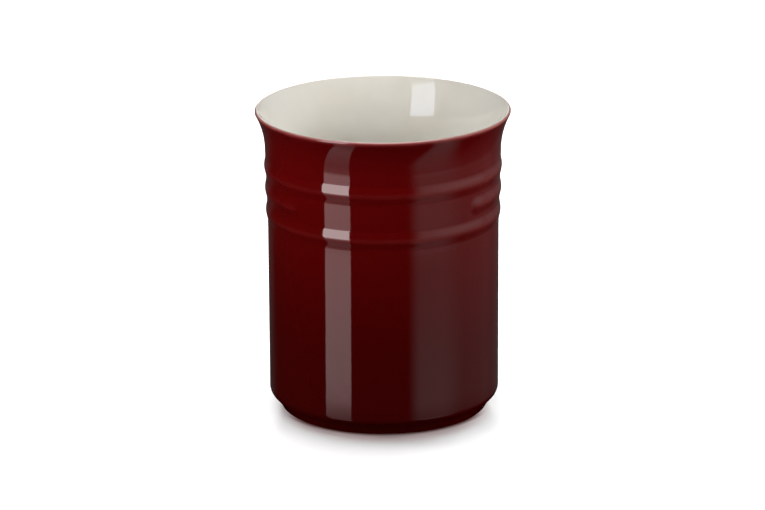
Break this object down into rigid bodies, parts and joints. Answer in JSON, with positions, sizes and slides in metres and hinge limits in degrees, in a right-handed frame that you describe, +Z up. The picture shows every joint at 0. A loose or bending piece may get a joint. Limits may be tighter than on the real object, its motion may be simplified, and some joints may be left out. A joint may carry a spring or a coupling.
{
  "type": "utensil crock",
  "caption": "Cylindrical glazed stoneware crock with a flared lip, raised beads below it, a plain front panel and a stepped foot, for holding kitchen utensils upright.",
  "frame": {"origin": "centre of the foot ring's flat underside, on the surface that the crock stands on", "axes": "+Z up along the crock's axis to its mouth; the plain panel in the middle bead faces -Y"},
  "size_m": [0.1244, 0.1244, 0.15],
  "materials": {
    "stoneware": "fired clay, bare and ground flat on the foot ring",
    "red_glaze": "deep red gloss glaze, thinner and paler where it rolls over the lip",
    "cream_glaze": "cream gloss glaze"
  },
  "bodies": {
    "root": {"stoneware_body": "stoneware", "outer_glaze": "red_glaze", "inner_glaze": "cream_glaze", "underside_glaze": "red_glaze"}
  },
  "joints": []
}
